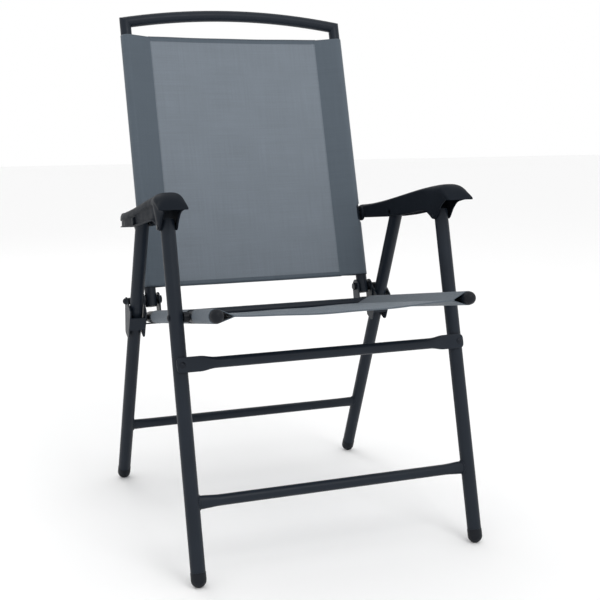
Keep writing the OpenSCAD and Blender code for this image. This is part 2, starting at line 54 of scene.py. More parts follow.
SIDES = {"left": -1, "right": 1}
NODES = frame["nodes"]
JOINTS = {joint["name"]: joint for joint in frame["joints"]}
SLOTS = {row["node"]: row["material_slot"] for row in frame["record"]["subparts"]}


# ---- Camera, light and floor ----

CAMERA_AZIMUTH = math.radians(-21.17)
CAMERA_ELEVATION = math.radians(10.26)
CAMERA_DISTANCE = 2.0756
CAMERA_AIM = Vector((0.0326, 0.0, 0.4072))
CAMERA_LENS = 65.42
SENSOR = 36.0
LIGHT_AIM = (0.0, 0.0, 0.45)
KEY_POWER = 24.0
RIM_POWER = 14.0
WORLD_POWER = 1.0
FLOOR_SIZE = 24.0
FLOOR_TONE = 0.94


def make_camera():
    data = bpy.data.cameras.new("camera")
    data.lens = CAMERA_LENS
    data.sensor_width = SENSOR
    camera = bpy.data.objects.new("camera", data)
    bpy.context.scene.collection.objects.link(camera)
    level = math.cos(CAMERA_ELEVATION)
    toward = Vector((math.sin(CAMERA_AZIMUTH) * level,
                     -math.cos(CAMERA_AZIMUTH) * level,
                     math.sin(CAMERA_ELEVATION)))
    camera.location = CAMERA_AIM + toward * CAMERA_DISTANCE
    camera.rotation_euler = (-toward).to_track_quat("-Z", "Y").to_euler()
    bpy.context.scene.camera = camera


def area_light(name, place, size, power):
    """A rectangular lamp that looks at the chair's middle."""
    data = bpy.data.lights.new(name, "AREA")
    data.shape = "RECTANGLE"
    data.size, data.size_y = size
    data.energy = power
    lamp = bpy.data.objects.new(name, data)
    lamp.location = place
    lamp.rotation_euler = (Vector(LIGHT_AIM) - Vector(place)).to_track_quat("-Z", "Y").to_euler()
    bpy.context.scene.collection.objects.link(lamp)


def make_studio():
    world = bpy.data.worlds.new("studio")
    bpy.context.scene.world = world
    world.use_nodes = True
    background = world.node_tree.nodes["Background"]
    background.inputs["Color"].default_value = (1.0, 1.0, 1.0, 1.0)
    background.inputs["Strength"].default_value = WORLD_POWER
    area_light("key", (0.6, -2.4, 2.8), (1.3, 1.3), KEY_POWER)
    area_light("rim", (-0.5, 2.6, 2.6), (1.4, 1.0), RIM_POWER)
    bpy.context.scene.view_settings.view_transform = "Standard"


def make_floor():
    bpy.ops.mesh.primitive_plane_add(size=FLOOR_SIZE, location=(0.0, 0.0, 0.0))
    floor = bpy.context.object
    floor.name = "studio_floor"
    material, shader, _ = new_material("studio_floor")
    shader.inputs["Base Color"].default_value = (FLOOR_TONE, FLOOR_TONE, FLOOR_TONE, 1.0)
    shader.inputs["Roughness"].default_value = 0.8
    floor.data.materials.append(material)


# ---- Materials ----

FRAME_COLOUR = (0.0105, 0.0150, 0.0225)
PLASTIC_COLOUR = (0.0060, 0.0078, 0.0115)
ARMREST_COLOUR = (0.0105, 0.0135, 0.0185)
HARDWARE_COLOUR = (0.014, 0.017, 0.023)
CLOTH_SINGLE = (0.160, 0.189, 0.222)
CLOTH_DOUBLE = (0.074, 0.097, 0.122)
# The seat's cloth is the sling cloth made darker: painted shade, for the seat seen almost edge-on.
CLOTH_SEAT_PAINTED_SHADE = (0.092, 0.122, 0.152)
THREAD_COLOUR = (0.05, 0.065, 0.085)


def new_material(name):
    material = bpy.data.materials.new(name)
    material.use_nodes = True
    tree = material.node_tree
    return material, tree.nodes["Principled BSDF"], tree


def node(tree, kind, **values):
    made = tree.nodes.new(kind)
    for key, value in values.items():
        setattr(made, key, value)
    return made


def noise(tree, vector, scale, detail=3.0):
    made = node(tree, "ShaderNodeTexNoise")
    made.inputs["Scale"].default_value = scale
    made.inputs["Detail"].default_value = detail
    tree.links.new(vector, made.inputs["Vector"])
    return made.outputs["Fac"]


def remap(tree, value, low, high, from_low=0.3, from_high=0.7):
    made = node(tree, "ShaderNodeMapRange")
    for name, number in (("From Min", from_low), ("From Max", from_high),
                         ("To Min", low), ("To Max", high)):
        made.inputs[name].default_value = number
    tree.links.new(value, made.inputs["Value"])
    return made.outputs["Result"]


def maths(tree, operation, a, b=None):
    made = node(tree, "ShaderNodeMath", operation=operation)
    for slot, value in enumerate((a, b)):
        if value is None:
            continue
        if isinstance(value, (int, float)):
            made.inputs[slot].default_value = value
        else:
            tree.links.new(value, made.inputs[slot])
    return made.outputs[0]


def tint(tree, factor, dark, light):
    made = node(tree, "ShaderNodeMix", data_type="RGBA")
    made.inputs["A"].default_value = (*dark, 1.0)
    made.inputs["B"].default_value = (*light, 1.0)
    tree.links.new(factor, made.inputs["Factor"])
    return made.outputs["Result"]


def bump(tree, shader, height, distance, strength=1.0):
    made = node(tree, "ShaderNodeBump")
    made.inputs["Distance"].default_value = distance
    made.inputs["Strength"].default_value = strength
    tree.links.new(height, made.inputs["Height"])
    tree.links.new(made.outputs["Normal"], shader.inputs["Normal"])


def scaled(colour, factor):
    return tuple(channel * factor for channel in colour)


def coated(name, colour, roughness, grain_scale, grain_depth, specular=0.18, metallic=0.0):
    """A sprayed, moulded or coated surface: fine grain, cloudy tone and uneven gloss."""
    material, shader, tree = new_material(name)
    place = node(tree, "ShaderNodeTexCoord").outputs["Object"]
    cloud = noise(tree, place, 14.0, 4.0)
    fine = noise(tree, place, grain_scale, 2.0)
    tone = maths(tree, "ADD", maths(tree, "MULTIPLY", cloud, 0.7),
                 maths(tree, "MULTIPLY", fine, 0.3))
    colours = tint(tree, remap(tree, tone, 0.0, 1.0), scaled(colour, 0.86), scaled(colour, 1.18))
    tree.links.new(colours, shader.inputs["Base Color"])
    gloss = remap(tree, noise(tree, place, 55.0, 3.0), roughness - 0.05, roughness + 0.06)
    tree.links.new(gloss, shader.inputs["Roughness"])
    shader.inputs["Metallic"].default_value = metallic
    shader.inputs["Specular IOR Level"].default_value = specular
    bump(tree, shader, fine, grain_depth)
    return material


YARN_PITCH = 1.5 * MM
YARN_RELIEF = 0.25 * MM
YARN_UNDER = 0.55


def weave(tree, flat):
    """Height of the yarns of a plain weave, each over and under the ones it crosses."""
    split = node(tree, "ShaderNodeSeparateXYZ")
    tree.links.new(flat, split.inputs["Vector"])
    turns = math.pi / YARN_PITCH
    warp = maths(tree, "SINE", maths(tree, "MULTIPLY", split.outputs["X"], turns))
    weft = maths(tree, "SINE", maths(tree, "MULTIPLY", split.outputs["Y"], turns))
    over = maths(tree, "MULTIPLY", warp, weft)
    round_warp = maths(tree, "ABSOLUTE", warp)
    round_weft = maths(tree, "ABSOLUTE", weft)
    warp_up = remap(tree, over, YARN_UNDER, 1.0, -1.0, 1.0)
    warp_height = maths(tree, "MULTIPLY", round_warp, warp_up)
    weft_up = remap(tree, over, 1.0, YARN_UNDER, -1.0, 1.0)
    weft_height = maths(tree, "MULTIPLY", round_weft, weft_up)
    return maths(tree, "MAXIMUM", warp_height, weft_height)


def yarn_streaks(tree, flat):
    """Uneven tone drawn out along the yarns, both ways."""
    streaks = []
    for stretch in ((420.0, 9.0, 1.0), (9.0, 420.0, 1.0)):
        mapping = node(tree, "ShaderNodeMapping")
        mapping.inputs["Scale"].default_value = stretch
        tree.links.new(flat, mapping.inputs["Vector"])
        streaks.append(noise(tree, mapping.outputs["Vector"], 1.0, 2.0))
    return maths(tree, "MULTIPLY", maths(tree, "ADD", *streaks), 0.5)


def cloth(name, colour):
    """Coated yarn in a plain weave, its colour darker between the yarns and lighter on their crowns as painted
    shade and highlight. UV is in metres: U across the cloth, V along it.
    """
    material, shader, tree = new_material(name)
    flat = node(tree, "ShaderNodeUVMap", uv_map="cloth").outputs["UV"]
    yarn = weave(tree, flat)
    streak = yarn_streaks(tree, flat)
    cloud = noise(tree, flat, 16.0, 3.0)
    # Painted shade and highlight: the yarns' height darkens the gaps between them and lightens their crowns; the
    # streaks and clouds are the yarn's own uneven tone.
    tone = maths(tree, "ADD", maths(tree, "MULTIPLY", yarn, 0.5),
                 maths(tree, "ADD", maths(tree, "MULTIPLY", streak, 0.36),
                       maths(tree, "MULTIPLY", cloud, 0.14)))
    colours = tint(tree, remap(tree, tone, 0.0, 1.0, 0.25, 0.85),
                   scaled(colour, 0.62), scaled(colour, 1.22))
    tree.links.new(colours, shader.inputs["Base Color"])
    tree.links.new(remap(tree, yarn, 0.72, 0.56, 0.2, 1.0), shader.inputs["Roughness"])
    shader.inputs["Specular IOR Level"].default_value = 0.35
    shader.inputs["Sheen Weight"].default_value = 0.12
    shader.inputs["Sheen Roughness"].default_value = 0.5
    bump(tree, shader, yarn, YARN_RELIEF, 0.7)
    return material


def make_materials():
    return {
        "frame_steel": coated("powder_coat", FRAME_COLOUR, 0.40, 900.0, 0.06 * MM),
        "cap_plastic": coated("cap_plastic", PLASTIC_COLOUR, 0.46, 1400.0, 0.04 * MM),
        "armrest_plastic": coated("armrest_plastic", ARMREST_COLOUR, 0.50, 1100.0, 0.05 * MM,
                                  specular=0.03),
        "hardware": coated("black_hardware", HARDWARE_COLOUR, 0.36, 700.0, 0.03 * MM,
                           metallic=0.5),
        "weld": coated("painted_weld", scaled(FRAME_COLOUR, 1.1), 0.45, 420.0, 0.15 * MM),
        "single": cloth("sling_single", CLOTH_SINGLE),
        "double": cloth("sling_double", CLOTH_DOUBLE),
        # Painted shade: the seat takes a darker copy of the same cloth.
        "seat": cloth("sling_seat_painted_shade", CLOTH_SEAT_PAINTED_SHADE),
        "thread": coated("sewing_thread", THREAD_COLOUR, 0.6, 2500.0, 0.05 * MM),
    }


# ---- Meshes ----

def add_piece(name, mesh, materials, body):
    thing = bpy.data.objects.new(name, mesh)
    bpy.context.scene.collection.objects.link(thing)
    for material in materials:
        mesh.materials.append(material)
    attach(thing, body)
    return thing


def mesh_from(name, points, faces, smooth=True):
    mesh = bpy.data.meshes.new(name)
    mesh.from_pydata([tuple(p) for p in points], [], faces)
    mesh.validate()
    if smooth:
        mesh.polygons.foreach_set("use_smooth", [True] * len(mesh.polygons))
    return mesh


def loft(rings, caps=True):
    """Points and faces of a skin through closed rings of equal length."""
    count = len(rings[0])
    points = [p for ring in rings for p in ring]
    faces = []
    for i in range(len(rings) - 1):
        for k in range(count):
            a, b = i * count + k, i * count + (k + 1) % count
            faces.append((a, b, b + count, a + count))
    if caps:
        faces.append(tuple(reversed(range(count))))
        last = (len(rings) - 1) * count
        faces.append(tuple(range(last, last + count)))
    return points, faces


def fix_normals(mesh, merge=False):
    """Turns the faces outward. Merging joins the first and last ring of a closed skin."""
    work = bmesh.new()
    work.from_mesh(mesh)
    if merge:
        bmesh.ops.remove_doubles(work, verts=work.verts, dist=1e-6)
    bmesh.ops.recalc_face_normals(work, faces=work.faces)
    work.to_mesh(mesh)
    work.free()


def add_skin(name, rings, material, body):
    """A solid piece through rings, capped at both ends."""
    points, faces = loft(rings)
    mesh = mesh_from(name, points, faces)
    fix_normals(mesh)
    return add_piece(name, mesh, (material,), body)


def apply_modifiers(thing):
    """Leaves the mesh that the modifiers make."""
    made = bpy.data.meshes.new_from_object(
        thing.evaluated_get(bpy.context.evaluated_depsgraph_get()))
    thing.modifiers.clear()
    thing.data = made


def solidify(thing, thickness):
    """Gives a sheet its thickness, half to each side."""
    modifier = thing.modifiers.new("thickness", "SOLIDIFY")
    modifier.thickness = thickness
    modifier.offset = 0.0
    modifier.use_even_offset = True


def smoothstep(t):
    t = min(max(t, 0.0), 1.0)
    return t * t * (3 - 2 * t)


def bezier(a, b, c, d, steps):
    a, b, c, d = (np.array(p, float) for p in (a, b, c, d))
    return [(1 - t) ** 3 * a + 3 * (1 - t) ** 2 * t * b + 3 * (1 - t) * t * t * c + t ** 3 * d
            for t in np.linspace(0.0, 1.0, steps + 1)]


def vertices_of(node_name):
    mesh = NODES[node_name].data
    found = np.empty(len(mesh.vertices) * 3)
    mesh.vertices.foreach_get("co", found)
    return found.reshape(-1, 3)


def centre_of(node_name):
    low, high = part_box(node_name)
    return [(a + b) / 2 for a, b in zip(low, high)]


class Rail:
    """The axis of a straight tube in the side view, from a pivot on it: s runs along it,
    n across it to the face side."""

    def __init__(self, node_name, pivot, along, face, seam):
        flat = vertices_of(node_name)[:, 1:]
        middle = flat.mean(axis=0)
        direction = np.linalg.svd(flat - middle, full_matrices=False)[2][0]
        self.along = direction * np.sign(direction @ np.array(along))
        across = np.array((-self.along[1], self.along[0]))
        self.face = across * np.sign(across @ np.array(face))
        self.origin = np.array(pivot[1:])
        low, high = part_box(node_name)
        self.radius = (high[0] - low[0]) / 2
        self.x = abs(high[0] + low[0]) / 2
        self.half = self.x - seam
        self.pivot_n = float((middle - self.origin) @ self.face)

    def point(self, x, n, s):
        """World place: x across the chair, n from the tube's axis, s along it."""
        side = self.origin + (n + self.pivot_n) * self.face + s * self.along
        return Vector((x, side[0], side[1]))

    def span(self, node_name):
        along = (vertices_of(node_name)[:, 1:] - self.origin) @ self.along
        return float(along.min()), float(along.max())


# ---- Slings ----

CLOTH_T = 1.0 * MM
HEM = 10.5 * MM
STITCH = 2.7 * MM
STITCH_GAP = 1.5 * MM
STITCH_R = 0.32 * MM
NOTCH_HALF = 23.0 * MM
NOTCH_DEEP = 15.0 * MM
SLEEVE_GAP = 0.15 * MM
FACE_LIFT = 0.55 * CLOTH_T
SLING_ROWS = 120


class Panel:
    """A sling's cloth over its two tubes: s runs along the tubes, x across the chair."""

    def __init__(self, rail, node_name, sag, rise, seed):
        self.rail = rail
        self.half = rail.half
        self.low, self.high = rail.span(node_name)
        self.sag, self.rise, self.seed = sag, rise, seed

    def level(self, x):
        """Height of the sagging cloth over the plane of the tubes."""
        return -self.sag * (1 - (x / self.rail.x) ** 2)

    def wave(self, x, s):
        """Slight waves in the taut cloth, and its rise behind the slacker low edge."""
        edge = abs(x) / self.half
        if edge >= 1.0:
            return 0.0
        ends = math.exp(-min(s - self.low, self.high - s) / 0.05)
        waves = MM * (0.45 * edge ** 3 * math.sin(s * 92.0 + self.seed)
                      + 0.35 * edge * math.sin(s * 41.0 + 2.1 * self.seed)
                      + 0.5 * ends * math.sin(x * 47.0 + self.seed))
        rise = self.rise * smoothstep((s - self.low) / 0.15) * (1 - edge ** 2)
        return waves * (1 - edge ** 8) + rise

    def point(self, x, s, lift):
        """A place on the single layer, lifted from its middle to the face side."""
        n = self.level(x) + FACE_LIFT + self.wave(x, s) + lift
        return self.rail.point(x, n, s)


def sleeve_path(panel):
    """Right-hand sleeve as (x, n): from the upper seam round the tube to the lower seam."""
    rail = panel.rail
    radius = rail.radius + SLEEVE_GAP + CLOTH_T / 2
    level = panel.level(rail.half)
    ends = []
    for lift, turn in ((FACE_LIFT, -1), (-FACE_LIFT, 1)):
        seam = np.array((rail.half, level + lift))
        toward = seam - np.array((rail.x, 0.0))
        angle = math.atan2(toward[1], toward[0]) % (2 * math.pi)
        angle += turn * math.acos(radius / float(np.linalg.norm(toward)))
        ends.append((seam, angle))
    (upper, start), (lower, stop) = ends
    arc = [np.array((rail.x + radius * math.cos(a), radius * math.sin(a)))
           for a in np.linspace(start, stop - 2 * math.pi, 29)]
    rising = [upper + (arc[0] - upper) * t for t in np.linspace(0.0, 1.0, 12, endpoint=False)]
    falling = [arc[-1] + (lower - arc[-1]) * t for t in np.linspace(0.0, 1.0, 12)[1:]]
    return rising + arc + falling


def sling_path(panel):
    """The cloth's cross-section, from the left lower seam across to the right lower seam,
    and the lengths along it where the two single-layer edges are."""
    right = sleeve_path(panel)
    left = [np.array((-p[0], p[1])) for p in reversed(right)]
    middle = [np.array((x, panel.level(x) + FACE_LIFT))
              for x in np.linspace(-panel.half, panel.half, 62)[1:-1]]
    path = left + middle + right
    steps = [0.0] + [float(np.linalg.norm(b - a)) for a, b in zip(path, path[1:])]
    lengths = np.cumsum(steps)
    return path, lengths, lengths[len(left) - 1], lengths[len(left) + len(middle)]


def add_uv(mesh, flats):
    """Lays the cloth's flat places, in metres, on the mesh's faces."""
    layer = mesh.uv_layers.new(name="cloth")
    for polygon, flat in zip(mesh.polygons, flats):
        for loop, uv in zip(polygon.loop_indices, flat):
            layer.data[loop].uv = uv


def sling_mesh(name, panel):
    """The cloth's middle skin with its flat places, and its length round the tubes. Faces
    of hems and sleeves take the second material."""
    path, lengths, first, last = sling_path(panel)
    rows = np.linspace(panel.low, panel.high, SLING_ROWS)
    points = []
    for s in rows:
        for (x, n), along in zip(path, lengths):
            wave = panel.wave(x, s) if first <= along <= last else 0.0
            points.append(panel.rail.point(x, n + wave, s))
    count = len(path)
    faces, flats, doubled = [], [], []
    for i in range(len(rows) - 1):
        for k in range(count - 1):
            a = i * count + k
            faces.append((a, a + 1, a + 1 + count, a + count))
            u, v = (lengths[k], lengths[k + 1]), (rows[i], rows[i + 1])
            flats.append(((u[0], v[0]), (u[1], v[0]), (u[1], v[1]), (u[0], v[1])))
            hemmed = not panel.low + HEM <= (v[0] + v[1]) / 2 <= panel.high - HEM
            doubled.append(hemmed or not first <= (u[0] + u[1]) / 2 <= last)
    mesh = mesh_from(name, points, faces)
    add_uv(mesh, flats)
    mesh.polygons.foreach_set("material_index", [int(double) for double in doubled])
    return mesh, float(lengths[-1])


def make_sling(name, node_name, body, panel, notch_s, single, materials):
    mesh, length = sling_mesh(name, panel)
    piece = add_piece(name, mesh, (single, materials["double"]), body)
    solidify(piece, CLOTH_T)
    cut_notches(piece, panel.rail, notch_s)
    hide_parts(node_name)
    hems = make_hems(name, body, panel, materials)
    threads = make_threads(name, body, panel, materials)


def cut_notches(piece, rail, notch_s):
    """Oval holes through the sleeves' outer halves, where the pivots pass."""
    cutters = []
    for side in SIDES.values():
        rings = []
        for x in (rail.x + 1.5 * MM, rail.x + 30 * MM):
            rings.append([rail.point(side * x, NOTCH_DEEP * math.sin(a),
                                     notch_s + NOTCH_HALF * math.cos(a))
                          for a in np.linspace(0, 2 * math.pi, 48, endpoint=False)])
        points, faces = loft(rings)
        mesh = mesh_from("notch", points, faces, smooth=False)
        fix_normals(mesh)
        cutter = bpy.data.objects.new("notch", mesh)
        bpy.context.scene.collection.objects.link(cutter)
        cutters.append(cutter)
        modifier = piece.modifiers.new("notch", "BOOLEAN")
        modifier.operation = "DIFFERENCE"
        modifier.solver = "EXACT"
        modifier.object = cutter
    apply_modifiers(piece)
    for cutter in cutters:
        bpy.data.objects.remove(cutter)


def make_hems(name, body, panel, materials):
    """The turned-in layers of both hems, behind the cloth, each with its rounded fold."""
    half = panel.half + 3 * MM
    columns = np.linspace(-half, half, 60)
    fold = [(HEM, -1.05 * CLOTH_T), (HEM / 2, -1.1 * CLOTH_T), (0.4 * MM, -1.1 * CLOTH_T),
            (-0.35 * MM, -0.85 * CLOTH_T), (-0.6 * MM, -0.4 * CLOTH_T), (-0.2 * MM, 0.0)]
    count = len(fold)
    points, faces, flats = [], [], []
    for edge, inward in ((panel.low, 1), (panel.high, -1)):
        start = len(points)
        points += [panel.point(x, edge + inward * depth, lift)
                   for x in columns for depth, lift in fold]
        for i in range(len(columns) - 1):
            for k in range(count - 1):
                a = start + i * count + k
                faces.append((a, a + 1, a + 1 + count, a + count))
                flats.append([(columns[i], fold[k][0]), (columns[i], fold[k + 1][0]),
                              (columns[i + 1], fold[k + 1][0]), (columns[i + 1], fold[k][0])])
    mesh = mesh_from(name + "_hems", points, faces)
    add_uv(mesh, flats)
    hems = add_piece(name + "_hems", mesh, (materials["double"],), body)
    solidify(hems, 0.9 * CLOTH_T)
    apply_modifiers(hems)
    return hems


def capsule(start, end, radius, up):
    """A stitch: a short thread, lowest at its two ends."""
    axis = (end - start).normalized()
    side = axis.cross(up).normalized()
    rings = []
    for t, swell in ((0.0, 0.25), (0.15, 0.8), (0.5, 1.0), (0.85, 0.8), (1.0, 0.25)):
        middle = start.lerp(end, t) + up * radius * (swell - 0.9)
        rings.append([middle + radius * swell * (math.cos(a) * side + math.sin(a) * up)
                      for a in np.linspace(0, 2 * math.pi, 6, endpoint=False)])
    return loft(rings)


def stitch_runs(panel):
    """Ends of every stitch: two rows down each sleeve seam and one along each hem."""
    half, pitch = panel.half, STITCH + STITCH_GAP
    runs = []
    for side in SIDES.values():
        for inset in (-1.5 * MM, 2.0 * MM):
            x = side * (half + inset)
            for s in np.arange(panel.low + 1.5 * MM, panel.high - pitch, pitch):
                runs.append(((x, s), (x, s + STITCH)))
    for s in (panel.low + HEM - 1.5 * MM, panel.high - HEM + 1.5 * MM):
        for x in np.arange(-half + 4 * MM, half - 4 * MM - pitch, pitch):
            runs.append(((x, s), (x + STITCH, s)))
    return runs


def make_threads(name, body, panel, materials):
    up = Vector((0.0, *panel.rail.face))
    lift = CLOTH_T / 2 + STITCH_R * 0.35
    points, faces = [], []
    for ends in stitch_runs(panel):
        a, b = (panel.point(x, s, lift) for x, s in ends)
        more, skin = capsule(a, b, STITCH_R, up)
        faces += [tuple(i + len(points) for i in face) for face in skin]
        points += more
    mesh = mesh_from(name + "_stitches", points, faces)
    return add_piece(name + "_stitches", mesh, (materials["thread"],), body)


# ---- Armrests ----

ARM_WALL = 2.7 * MM
ARM_HALF = 18.0 * MM
HOOD_IN = 3.5 * MM
HOOD_OUT = 10.5 * MM
LUG_IN = 17.0 * MM
LUG_OUT = 14.0 * MM
INNER_ARCH = 15.0 * MM
OUTER_ARCH = 14.0 * MM
ARCH_DROP = 8.5 * MM
HOLLOW = 4.4 * MM
SHOULDER_R = 15.0 * MM
BOSS_R = 8.0 * MM
BOSS_FROM = 11.6 * MM
CROWN = (-24.0 * MM, 59.5 * MM)
LIP = (-68.0 * MM, 34.5 * MM)
LUG_EDGE = ((-56, 34), (-47, 32.5), (-37, 28.5), (-29, 23), (-21, 15), (-15, 6), (-10, -2.5),
            (-6, -5.5), (4, -5.5), (8, -3.5), (16, 0.5), (30, 6.5), (36, 7.3))


def arm_outline(tail, drop, leg_at):
    """The armrest's top and lower edges in the side view, in metres from its front pivot:
    y to the rear, z up, the top from the tail to the lip and the lower edge back again."""
    tail_top = drop + 17 * MM
    top = bezier((tail, tail_top), (0.64 * tail, tail_top + 12.3 * MM),
                 (CROWN[0] + 84 * MM, CROWN[1] - 7.5 * MM), CROWN, 60)
    top += bezier(CROWN, (CROWN[0] - 16 * MM, CROWN[1]),
                  (LIP[0] + 11 * MM, LIP[1] + 15.5 * MM), (LIP[0], LIP[1] + 0.6 * MM), 40)[1:]
    low = [LIP] + [(y * MM, z * MM) for y, z in LUG_EDGE]
    low += [(leg_at[0] - 51 * MM, leg_at[1] - 2 * MM), (leg_at[0] + 2 * MM, leg_at[1] - 10 * MM),
            (tail, drop - 11 * MM)]
    return np.array(top), np.array(low)


def arm_widths(y, tail):
    """Inner and outer half widths of the top at y: a wide hood, cheeks and a narrow tail."""
    flare = smoothstep((40 * MM - y) / (76 * MM))
    corner = 7 * MM
    into = min(max((LIP[0] + corner - y) / corner, 0.0), 1.0)
    round_off = corner * (1 - math.sqrt(1 - into * into))
    narrow = max((y - (tail - 65 * MM)) / (65 * MM), 0.0)
    return (ARM_HALF + HOOD_IN * flare - round_off,
            ARM_HALF + HOOD_OUT * flare - round_off - 10 * MM * narrow)


def arm_side(top, low, half, base, arch, recess):
    """One side's outline (x, z) from the lower edge up to the middle of the top."""
    arch = min(arch, (top - low) * 0.7)
    wall = top - low - arch
    levels = ((0.0, 0.0), (0.12, 0.0), (0.17, 1.0), (0.5, 1.0), (0.86, 1.0), (0.91, 0.2),
              (0.96, 0.0))
    points = [(base + (half - base) * up - recess * cut, low + wall * up)
              for up, cut in levels]
    for a in np.linspace(0.0, math.pi / 2, 11):
        points.append((half * math.cos(a) ** 0.72, top - arch + arch * math.sin(a) ** 0.9))
    return points


def arm_section(top, low, halves, bases, arches, recess):
    """Open-bottomed outline from the inner lower edge over the top to the outer one. The
    outer side has a hollow of the given depth below its rounded edge."""
    inner = arm_side(top, low, halves[0], bases[0], arches[0], 0.0)
    outer = arm_side(top, low, halves[1], bases[1], arches[1], recess)
    return [(-x, z) for x, z in inner] + outer[-2::-1]


def arm_ring(y, top, low, tail):
    """Closed outline (x, z) of the moulding's wall at y: the outside, then the inside."""
    halves = arm_widths(y, tail)
    lug = smoothstep((y + 60 * MM) / (26 * MM)) * smoothstep((44 * MM - y) / (26 * MM))
    bases = [half + (base - half) * lug for half, base in zip(halves, (LUG_IN, LUG_OUT))]
    lower_arch = ARCH_DROP * smoothstep((y + 10 * MM) / (75 * MM))
    arches = np.array((INNER_ARCH - lower_arch, OUTER_ARCH))
    recess = HOLLOW * smoothstep((y - 8 * MM) / (26 * MM))
    recess *= 1.0 - 0.45 * smoothstep((y - tail + 50 * MM) / (45 * MM))
    low = min(low, top - 0.6 * MM)
    ceiling = max(top - ARM_WALL, low + 0.2 * MM)
    outside = arm_section(top, low, halves, bases, arches, recess)
    inside = arm_section(ceiling, low, [half - ARM_WALL for half in halves],
                         [base - ARM_WALL for base in bases],
                         arches - ARM_WALL / 2, recess * 0.8)
    return outside + inside[::-1]


def arm_centre(side_name):
    """Distance from the chair's middle to the middle of an armrest's cheeks."""
    low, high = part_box("armrest_" + side_name)
    return max(abs(low[0]), abs(high[0])) - ARM_HALF - HOOD_OUT


def make_armrest(side_name, materials):
    """A hollow moulding, open below, from its tail over the hood to its lip."""
    side = SIDES[side_name]
    name = "armrest_" + side_name
    pivot = JOINTS[name + "_turn"]["pos_m"]
    rear_pin = centre_of("arm_rear_pins")
    leg_pin = centre_of("arm_leg_pin_" + side_name)
    leg_at = [leg_pin[k] - pivot[k] for k in (1, 2)]
    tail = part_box(name)[1][1] - pivot[1]
    top, low = arm_outline(tail, rear_pin[2] - pivot[2], leg_at)
    centre_x = side * arm_centre(side_name)
    rings = []
    for y, top_z in top:
        low_z = float(np.interp(y, low[:, 0], low[:, 1]))
        rings.append([Vector((centre_x + side * x, pivot[1] + y, pivot[2] + z))
                      for x, z in arm_ring(y, top_z, low_z, tail)])
    shell = add_skin(name + "_shell", rings, materials["armrest_plastic"], name)
    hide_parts(name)


def make_disc(name, side_name, node_name, inner, outer, radius, materials):
    """A round moulded shoulder with softened rims about a pin, from inner to outer in x."""
    middle = Vector((0.0, *centre_of(node_name)[1:]))
    rings = []
    for x, share in ((inner, 0.6), (inner, 0.88), (inner + 0.6 * MM, 0.96),
                     (inner + 1.6 * MM, 1.0), (outer - 1.2 * MM, 1.0),
                     (outer - 0.3 * MM, 0.97), (outer, 0.9), (outer, 0.5)):
        rings.append([middle + Vector((SIDES[side_name] * x, share * radius * math.cos(a),
                                       share * radius * math.sin(a)))
                      for a in np.linspace(0, 2 * math.pi, 64, endpoint=False)])
    add_skin(name, rings, materials["armrest_plastic"], "armrest_" + side_name)


def make_arm_discs(side_name, materials):
    """The shoulder against the back tube and the boss over the rear leg's pin."""
    tube_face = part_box("back_tube_right")[1][0]
    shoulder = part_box("arm_rear_spacers")[1][0]
    make_disc("arm_rear_disc_" + side_name, side_name, "arm_rear_spacers",
              tube_face + 1.0 * MM, shoulder + 1.5 * MM, SHOULDER_R, materials)
    pin_name = "arm_leg_pin_" + side_name
    pin_end = max(abs(corner[0]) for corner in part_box(pin_name))
    make_disc("arm_leg_boss_" + side_name, side_name, pin_name,
              arm_centre(side_name) + BOSS_FROM, pin_end + 1.0 * MM, BOSS_R, materials)


# ---- Frame pieces with pressed ends ----

BAR_INTO_LEG = 2.0 * MM
BAR_TALLER = 0.20
BAR_THINNER = 0.24
PRESS_FROM = 44.0 * MM
PRESS_RUN = 38.0 * MM
WELD_R = 1.9 * MM
WELD_STEPS = 72
BRACE_R = 9.5 * MM
BRACE_END = 13.0 * MM
BRACE_CORNER = 7.5 * MM
BRACE_THIN_R = 2.5 * MM
BRACE_FLAT = 20.0 * MM
BRACE_TAPER = 44.0 * MM
BRACE_PAST_LEG = 9.0 * MM


def bar_frame(leg_node):
    """A leg's direction and the direction across it in the side view."""
    flat = vertices_of(leg_node)[:, 1:]
    direction = np.linalg.svd(flat - flat.mean(axis=0), full_matrices=False)[2][0]
    direction = direction * np.sign(direction[1])
    up = Vector((0.0, *direction))
    return up, Vector((0.0, -direction[1], direction[0]))


def bar_ring(middle, up, front, height, depth, power, count=40):
    """An oval ring: power 2 is an ellipse, and more is nearer to a rectangle."""
    ring = []
    for a in np.linspace(0, 2 * math.pi, count, endpoint=False):
        c, s = math.cos(a), math.sin(a)
        ring.append(middle + up * (height * math.copysign(abs(c) ** (2 / power), c))
                    + front * (depth * math.copysign(abs(s) ** (2 / power), s)))
    return ring


def make_lower_bar(name, leg_node, body, materials):
    """A tube between two legs whose last stretch is pressed taller, with its weld beads."""
    up, front = bar_frame(leg_node)
    low, high = (Vector(corner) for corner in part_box(name))
    middle = (low + high) / 2
    radius = (high.z - low.z) / 2
    reach = high.x + BAR_INTO_LEG
    rings = []
    for x in bar_stations(reach):
        press = smoothstep((abs(x) - (reach - PRESS_FROM)) / PRESS_RUN)
        height = radius * (1 + BAR_TALLER * press)
        depth = radius * (1 - BAR_THINNER * press)
        rings.append(bar_ring(Vector((x, middle.y, middle.z)), up, front, height, depth, 2.0))
    tube = add_skin(name + "_tube", rings, materials["frame_steel"], body)
    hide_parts(name)
    oval = (up * radius * (1 + BAR_TALLER), front * radius * (1 - BAR_THINNER))
    for side_name, side in SIDES.items():
        make_weld(f"{name}_weld_{side_name}", body, side, middle, oval, leg_node, materials)


def bar_stations(reach):
    """Places along a bar in x: close together where its ends are pressed."""
    ends = [reach - d for d in np.linspace(0, 50 * MM, 22)]
    return sorted([-x for x in ends] + [0.0] + ends)


